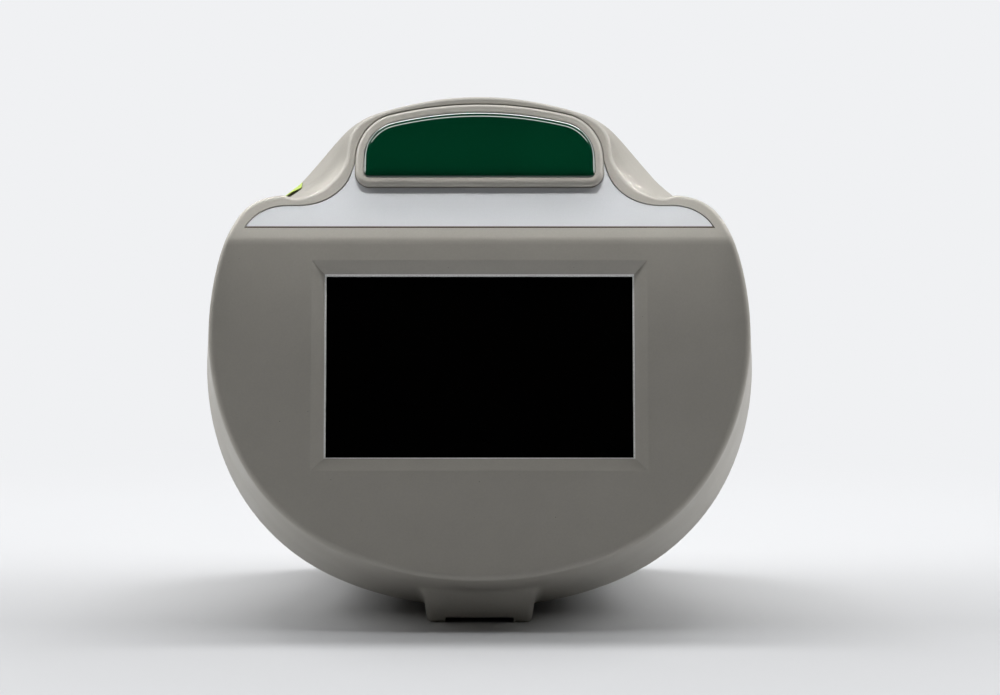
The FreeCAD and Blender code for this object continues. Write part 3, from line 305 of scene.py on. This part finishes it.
def screen_glass():
    """Black glass over an unlit display, with faint smears."""
    s = Shader("screen_glass", (0.0006, 0.0005, 0.0005, 1), 0.05, IOR=1.5)
    smear = s.noise(0.03, 5, 0.7, at=s.stretched(1, 1, 0.35, (0, 0.5, 0)))
    s.rough(smear, 0.03, 0.075)
    s.vary(s.noise(0.05, 2), 0.8, 1.1)
    s.bump(s.noise(0.06, 1, 0.3), 0.00002, 0.4)
    return s


def lcd_frame():
    s = Shader("lcd_frame", srgb(120, 121, 124), 0.4, Metallic=1.0)
    s.soften(0.0002)
    grain = s.noise(0.0012, 3, 0.6, at=s.stretched(0.05, 1, 1))
    s.vary(grain, 0.9, 1.05)
    s.rough(grain, 0.32, 0.48)
    s.bump(grain, 0.000006)
    return s


def plated_steel():
    """Zinc-plated sheet: faint crystals and drawing lines."""
    s = Shader("plated_steel", srgb(176, 178, 180), 0.38, Metallic=1.0)
    edge = s.soften(0.0002)
    s.vary(s.cells(0.004, output="Color"), 0.93, 1.04)
    lines = s.noise(0.0009, 3, 0.6, at=s.stretched(1, 0.04, 1))
    s.rough(lines, 0.28, 0.45)
    s.tint(s.math("MULTIPLY", edge, 0.3), srgb(206, 208, 210))
    s.bump(lines, 0.000005)
    return s


def screw_steel():
    s = Shader("screw_steel", srgb(150, 151, 153), 0.32, Metallic=1.0)
    s.soften(0.00015)
    s.vary(s.noise(0.0012, 3, 0.6), 0.86, 1.06)
    s.rough(s.noise(0.0006, 2), 0.24, 0.42)
    s.bump(s.noise(0.0003, 2), 0.000004)
    return s


def circuit_board():
    """Green solder mask over tracks that run along and across, with plated pads."""
    s = Shader("circuit_board", srgb(24, 84, 52), 0.34, Specular_IOR_Level=0.55)
    bends = s.cells(0.0026, feature="DISTANCE_TO_EDGE", random=0.55)
    tracks = s.ramp(bends, 0.06, 0.03)
    s.tint(s.math("MULTIPLY", tracks, 0.75), srgb(44, 122, 76))
    near = s.cells(0.0041, random=0.8)
    pads = s.ramp(near, 0.13, 0.1)
    pick = s.math("GREATER_THAN", s.cells(0.0041, output="Color", random=0.8), 0.6)
    pads = s.math("MULTIPLY", pads, pick)
    s.tint(pads, srgb(196, 176, 112))
    s.vary(s.noise(0.01, 2), 0.95, 1.04)
    s.rough(s.noise(0.005, 2), 0.26, 0.42)
    s.bump(tracks, 0.00002)
    return s


def component_black():
    s = Shader("component_black", srgb(30, 30, 32), 0.5)
    s.soften(0.0001)
    s.vary(s.noise(0.0003, 2, 0.6), 0.75, 1.3)
    s.rough(s.noise(0.002, 2), 0.4, 0.6)
    s.bump(s.noise(0.0002, 2), 0.000006)
    return s


def socket_metal():
    s = Shader("socket_metal", srgb(186, 186, 184), 0.28, Metallic=1.0)
    edge = s.soften(0.0002)
    s.vary(s.noise(0.003, 3, 0.6), 0.92, 1.04)
    s.tint(s.math("MULTIPLY", edge, 0.3), srgb(214, 214, 212))
    s.rough(s.noise(0.0015, 3, 0.6, at=s.stretched(1, 0.1, 1)), 0.2, 0.36)
    s.bump(s.noise(0.0008, 2, 0.5, at=s.stretched(1, 0.08, 1)), 0.000004)
    return s


def dark_plastic(name, color, low, high):
    """Dark moulded plastic whose roughness runs from low to high."""
    s = Shader(name, color, 0.45, Specular_IOR_Level=0.45)
    edge = s.soften(0.0003)
    s.vary(s.noise(0.0005, 2, 0.6), 0.85, 1.12)
    s.tint(s.math("MULTIPLY", edge, 0.3), srgb(62, 61, 60))
    s.rough(s.noise(0.006, 3, 0.6), low, high)
    s.bump(s.noise(0.00025, 2, 0.6), 0.000008)
    return s


def black_plastic():
    return dark_plastic("black_plastic", srgb(34, 34, 35), 0.38, 0.52)


def rocker_plastic():
    return dark_plastic("rocker_plastic", srgb(28, 28, 29), 0.26, 0.4)


def badge_resin():
    """A printed green film under a clear poured dome."""
    s = Shader("badge_resin", srgb(1, 57, 35), 0.06, IOR=1.5, Coat_Weight=1.0,
               Coat_Roughness=0.02, Coat_IOR=1.5)
    s.vary(s.noise(0.03, 2, 0.5), 0.92, 1.06)
    s.vary(s.noise(0.00025, 1, 0.5), 0.96, 1.03)
    s.rough(s.noise(0.012, 3, 0.6), 0.04, 0.09)
    s.bump(s.noise(0.02, 1, 0.3), 0.00002, 0.35)
    return s


def tray_plastic():
    return moulded("tray_plastic", srgb(206, 206, 202), grain=0.0003,
                   edge_tone=srgb(222, 222, 218), specks=False, roughness=(0.38, 0.5))


def magnet_nickel():
    s = Shader("magnet_nickel", srgb(190, 188, 182), 0.16, Metallic=1.0)
    s.soften(0.0002)
    s.vary(s.noise(0.002, 3), 0.92, 1.03)
    s.rough(s.noise(0.0015, 3, 0.6), 0.12, 0.26)
    s.bump(s.noise(0.002, 1), 0.000004)
    return s


def rail_plastic():
    """Acetal: slightly waxy, with marks where the runners slide."""
    s = Shader("rail_plastic", srgb(60, 61, 63), 0.36)
    s.soften(0.0003)
    drag = s.noise(0.001, 3, 0.6, at=s.stretched(1, 0.03, 1))
    s.vary(drag, 0.88, 1.12)
    s.rough(drag, 0.26, 0.44)
    s.bump(drag, 0.000008)
    return s


def brushed(name, color, low=0.28, high=0.42, size=0.0007):
    """Brushed aluminium with lines along X, size metres apart."""
    s = Shader(name, color, 0.35, Metallic=1.0)
    edge = s.soften(0.0002)
    lines = s.noise(size, 4, 0.65, at=s.stretched(0.03, 1, 1))
    s.vary(lines, 0.9, 1.05)
    s.tint(s.math("MULTIPLY", edge, 0.35), srgb(216, 217, 218))
    s.rough(lines, low, high)
    s.bump(lines, 0.000006)
    return s


def deck_aluminium():
    return brushed("deck_aluminium", srgb(184, 186, 188))


def heater_aluminium():
    return brushed("heater_aluminium", srgb(170, 171, 173), 0.34, 0.5, 0.0012)


def heater_film():
    """Amber polyimide over a folded heating track."""
    s = Shader("heater_film", srgb(186, 106, 30), 0.3, Specular_IOR_Level=0.6)
    wave = s.node("TexWave", wave_type="BANDS", bands_direction="Y")
    s.link(s.position, wave.inputs["Vector"])
    wave.inputs["Scale"].default_value = 90.0
    wave.inputs["Distortion"].default_value = 0.0
    track = s.ramp(wave.outputs["Fac"], 0.55, 0.7)
    s.tint(s.math("MULTIPLY", track, 0.65), srgb(122, 62, 20))
    s.vary(s.noise(0.006, 2), 0.93, 1.06)
    s.rough(s.noise(0.008, 2), 0.22, 0.38)
    s.bump(track, 0.00002)
    return s


def head_plastic():
    return dark_plastic("head_plastic", srgb(38, 39, 42), 0.42, 0.58)


def led_white():
    """White housings in a square grid, each with its amber die."""
    s = Shader("led_white", srgb(226, 228, 224), 0.4)
    s.soften(0.0002)
    rows = s.cells(0.003, random=0.0)
    s.tint(s.ramp(rows, 0.22, 0.16), srgb(232, 214, 120))
    s.rough(s.noise(0.002), 0.3, 0.46)
    s.bump(s.ramp(rows, 0.3, 0.2), 0.00006)
    return s


def lens_metal():
    s = Shader("lens_metal", srgb(46, 46, 48), 0.3, Metallic=1.0)
    s.soften(0.0002)
    rings = s.noise(0.0006, 2, at=s.stretched(0.05, 1, 0.05))
    s.vary(rings, 0.8, 1.2)
    s.rough(rings, 0.22, 0.38)
    s.bump(rings, 0.00002)
    return s


def pad_rubber():
    s = Shader("pad_rubber", srgb(44, 44, 45), 0.8, Specular_IOR_Level=0.35)
    s.soften(0.0004)
    s.vary(s.noise(0.002, 3, 0.6), 0.8, 1.25)
    s.tint(s.math("MULTIPLY", s.noise(0.004, 4, 0.7), 0.18), srgb(120, 116, 108))
    s.rough(s.noise(0.003, 2), 0.7, 0.9)
    s.bump(s.noise(0.0004, 2, 0.6), 0.00002)
    return s


def sticker_paper():
    s = Shader("sticker_paper", srgb(204, 230, 108), 0.5)
    s.vary(s.noise(0.0004, 3, 0.7), 0.94, 1.04)
    s.vary(s.noise(0.006, 2), 0.96, 1.03)
    s.rough(s.noise(0.002, 2), 0.42, 0.58)
    s.bump(s.noise(0.0003, 3, 0.7), 0.00001)
    return s


MAKERS = [shell_plastic, drawer_plastic, label_film, gasket_foam, screen_glass, lcd_frame,
          plated_steel, screw_steel, circuit_board, component_black, socket_metal, black_plastic,
          rocker_plastic, badge_resin, tray_plastic, magnet_nickel, rail_plastic, deck_aluminium,
          heater_aluminium, heater_film, head_plastic, led_white, lens_metal, pad_rubber,
          sticker_paper]
MATERIALS = {maker.__name__: maker().material for maker in MAKERS}


def finish_nodes():
    """Gives each CAD node the material of its slot in the record."""
    slots = {part["node"]: part["material_slot"] for part in frame["record"]["subparts"]}
    for name, obj in NODES.items():
        material = MATERIALS[slots[name]]
        if not obj.material_slots:
            obj.data.materials.append(material)
        for k in range(len(obj.material_slots)):
            obj.material_slots[k].material = material


finish_nodes()


# ------------------------------------------------------------------ badge dome
AROUND = 360                    # points round each ring
SKIRT = 0.0006                  # upright edge below the round
ROUND_WIDTH = 0.0042            # from the edge to where the round ends
ROUND_STEEP = 2.6               # the round is a superellipse with these two powers
ROUND_FLAT = 2.2
CROWN = 0.0002                  # slight rise from the round to the middle
CROWN_WIDTH = 0.0108
SPINE_HALF = 0.028              # the rings shrink towards a line this long each way

# How far each ring lies from the outline to the spine, as shares of the way, closest at the edge.
RING_SHARES = [0.004, 0.012, 0.024, 0.04, 0.06, 0.085, 0.115, 0.15, 0.19, 0.235, 0.285,
               0.34, 0.4, 0.47, 0.55, 0.64, 0.74, 0.84, 0.93]


def hull(points):
    """The convex outline of flat points, going round to the left."""
    points = sorted(set((round(x, 7), round(y, 7)) for x, y in points))
    sides = []
    for run in (points, points[::-1]):
        side = []
        for p in run:
            while len(side) > 1:
                (ax, ay), (bx, by) = side[-2], side[-1]
                if (bx - ax) * (p[1] - ay) - (by - ay) * (p[0] - ax) > 0:
                    break
                side.pop()
            side.append(p)
        sides += side[:-1]
    return np.array(sides)


def evenly(outline, count):
    """The same closed line with count points the same distance apart."""
    closed = np.vstack([outline, outline[:1]])
    run = np.concatenate([[0], np.cumsum(np.hypot(*np.diff(closed, axis=0).T))])
    at = np.linspace(0, run[-1], count, endpoint=False)
    return np.stack([np.interp(at, run, closed[:, k]) for k in (0, 1)], 1)


def gap_to(line, points):
    """How far each point lies from a closed line."""
    a = line[None, :, :]
    b = np.roll(line, -1, 0)[None, :, :]
    p = points[:, None, :]
    t = np.clip(((p - a) * (b - a)).sum(2) / ((b - a) ** 2).sum(2), 0, 1)
    return np.sqrt((((a + t[..., None] * (b - a)) - p) ** 2).sum(2)).min(1)


def dome_rings(outline, base, top):
    """The dome's rings from its foot inwards, each with its points and their heights."""
    middle = (outline[:, 1].min() + outline[:, 1].max()) / 2
    spine = np.stack([np.clip(outline[:, 0], -SPINE_HALF, SPINE_HALF), np.full(AROUND, middle)], 1)
    rings = [(outline, np.full(AROUND, base)), (outline, np.full(AROUND, base + SKIRT))]
    rise = top - base - SKIRT - CROWN
    for share in RING_SHARES:
        ring = outline + (spine - outline) * share
        gap = gap_to(outline, ring)
        edge = np.clip(1 - gap / ROUND_WIDTH, 0, 1)
        inner = np.clip(gap / CROWN_WIDTH, 0, 1)
        rounded = rise * (1 - edge ** ROUND_STEEP) ** (1 / ROUND_FLAT)
        height = rounded + CROWN * (1 - (1 - inner) ** 2)
        rings.append((ring, base + SKIRT + height))
    return rings


def ring_faces(count):
    """Quads between neighbouring rings, and one face that closes each end."""
    faces = []
    for r in range(count - 1):
        for k in range(AROUND):
            n = (k + 1) % AROUND
            low, high = r * AROUND, (r + 1) * AROUND
            faces.append((low + k, low + n, high + n, high + k))
    last = (count - 1) * AROUND
    faces.append(tuple(range(last, last + AROUND)))
    faces.append(tuple(range(AROUND - 1, -1, -1)))
    return faces


def badge_dome():
    """A poured resin dome with the outline and the thickness of the badge's CAD node."""
    across, up, out = leaning_axes(BROW_LEAN)
    corners = [v.co for v in NODES["drawer_badge"].data.vertices]
    outline = evenly(hull([(v.dot(across), v.dot(up)) for v in corners]), AROUND)
    depths = [v.dot(out) for v in corners]
    rings = dome_rings(outline, min(depths), max(depths))
    verts = []
    for ring, height in rings:
        for (x, y), z in zip(ring, height):
            verts.append(across * x + up * y + out * z)
    mesh = bpy.data.meshes.new("badge_dome")
    mesh.from_pydata(verts, [], ring_faces(len(rings)))
    mesh.update()
    for polygon in mesh.polygons:
        polygon.use_smooth = len(polygon.vertices) == 4
    mesh.materials.append(MATERIALS["badge_resin"])
    dome = bpy.data.objects.new("badge_dome", mesh)
    bpy.context.scene.collection.objects.link(dome)
    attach(dome, "drawer")
    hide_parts("drawer_badge")


badge_dome()


# --------------------------------------------------------------- floor and sky
BACKGROUND = srgb(240, 241, 243)
PAPER_NEAR = 0.17               # the paper shows its own shading up to this far from the origin
PAPER_FAR = 0.5                 # and an even tone from this far on
FLOOR_HALF = 6.0                # the sheet reaches this far to each side
FLOOR_FRONT = -4.0
FLOOR_BACK = 30.0
WALL_GLOW = 0.1
WALL_EDGE = (-0.05, 0.35)       # from dark to lit, by how far the direction points back
WALL_TOP = (0.85, 0.55)         # from dark to lit, by how far it points up
FRONT_GLOW = 0.004


def seen(s):
    """1 for rays from the camera and through or off the object, 0 for light that bounces."""
    path = s.node("LightPath")
    total = s.math("ADD", path.outputs["Is Camera Ray"], path.outputs["Is Glossy Ray"])
    return s.math("MINIMUM", s.math("ADD", total, path.outputs["Is Transmission Ray"]), 1.0)


def stage_material():
    """White paper that takes the shadow near the object and fades to an even tone beyond."""
    s = Shader("stage_paper", srgb(202, 203, 205), 0.9, Specular_IOR_Level=0.1)
    glow = s.node("Emission")
    glow.inputs["Color"].default_value = BACKGROUND
    distance = s.node("VectorMath", operation="LENGTH")
    s.link(s.position, distance.inputs[0])
    far = s.ramp(distance.outputs["Value"], PAPER_NEAR, PAPER_FAR)
    blend = s.node("MixShader")
    s.link(s.math("MULTIPLY", far, seen(s)), blend.inputs[0])
    s.link(s.bsdf.outputs[0], blend.inputs[1])
    s.link(glow.outputs[0], blend.inputs[2])
    s.link(blend.outputs[0], s.output.inputs["Surface"])
    return s.material


def floor():
    """A wide flat sheet of paper."""
    mesh = bpy.data.meshes.new("stage_floor")
    corners = [(-FLOOR_HALF, FLOOR_FRONT, 0.0), (FLOOR_HALF, FLOOR_FRONT, 0.0),
               (FLOOR_HALF, FLOOR_BACK, 0.0), (-FLOOR_HALF, FLOOR_BACK, 0.0)]
    mesh.from_pydata(corners, [], [(0, 1, 2, 3)])
    mesh.materials.append(stage_material())
    stage = bpy.data.objects.new("stage_floor", mesh)
    bpy.context.scene.collection.objects.link(stage)


def sky():
    """A pale wall round the back of the stage, dark above and in front of it."""
    world = bpy.data.worlds.new("studio")
    bpy.context.scene.world = world
    w = NodeTree(world)
    split = w.node("SeparateXYZ")
    w.link(w.node("TexCoord").outputs["Generated"], split.inputs[0])
    behind = w.ramp(split.outputs["Y"], *WALL_EDGE)
    low = w.ramp(split.outputs["Z"], *WALL_TOP)
    wall = w.math("MULTIPLY", w.math("MULTIPLY", behind, low), WALL_GLOW)
    dim = w.node("Background")
    w.put(dim, "Color", (1.0, 1.0, 1.0, 1.0))
    w.put(dim, "Strength", w.math("ADD", wall, FRONT_GLOW))
    pale = w.node("Background")
    w.put(pale, "Color", BACKGROUND)
    blend = w.node("MixShader")
    w.link(w.node("LightPath").outputs["Is Camera Ray"], blend.inputs[0])
    w.link(dim.outputs[0], blend.inputs[1])
    w.link(pale.outputs[0], blend.inputs[2])
    w.link(blend.outputs[0], w.node("OutputWorld").inputs["Surface"])


def lamp(name, place, target, size, power, spread=180, glossy=True):
    """A soft rectangle of light at a place, facing its target."""
    light = bpy.data.lights.new(name, "AREA")
    light.shape = "RECTANGLE"
    light.size, light.size_y = size
    light.energy = power
    light.spread = math.radians(spread)
    obj = bpy.data.objects.new(name, light)
    bpy.context.scene.collection.objects.link(obj)
    obj.location = place
    aim = Vector(target) - Vector(place)
    obj.rotation_euler = aim.to_track_quat("-Z", "Y").to_euler()
    obj.visible_camera = False
    obj.visible_glossy = glossy


MIDDLE = (0, 0, 0.09)           # what the large lamps face

floor()
sky()
lamp("key", (0, 0.6, 1.53), MIDDLE, (1.3, 0.2), 15)
for kind, x, y, z in (("softbox", 0.75, 0.75, 1.11), ("side", 1.1, 0.14, 0.9)):
    lamp("left_" + kind, (-x, y, z), MIDDLE, (0.7, 0.7), 7)
    lamp("right_" + kind, (x, y, z), MIDDLE, (0.7, 0.7), 7)
lamp("strip", (0, -0.15, 1.6), (0, -0.04, 0.1), (1.3, 0.09), 2.8)
lamp("brow", (0, -0.044, 0.5), (0, -0.044, 0.1), (0.18, 0.032), 0.011, spread=4, glossy=False)


# ---------------------------------------------------------------------- camera
SENSOR = 36.0
FOCAL_LENGTH = 163.2
CAMERA_SHIFT = (0.0205, -0.0115)
CAMERA_RISE = math.radians(5)
CAMERA_AWAY = 1.6
CAMERA_REACH = 50.0


def camera():
    """A long lens a little above the face's middle, looking straight at it."""
    lens = bpy.data.cameras.new("camera")
    lens.sensor_width = SENSOR
    lens.lens = FOCAL_LENGTH
    lens.shift_x, lens.shift_y = CAMERA_SHIFT
    lens.clip_end = CAMERA_REACH
    obj = bpy.data.objects.new("camera", lens)
    bpy.context.scene.collection.objects.link(obj)
    away = Vector((0, -math.cos(CAMERA_RISE), math.sin(CAMERA_RISE)))
    obj.location = FACE_CENTRE + away * CAMERA_AWAY
    obj.rotation_euler = (-away).to_track_quat("-Z", "Y").to_euler()
    bpy.context.scene.camera = obj


camera()
bpy.context.scene.view_settings.view_transform = "Standard"
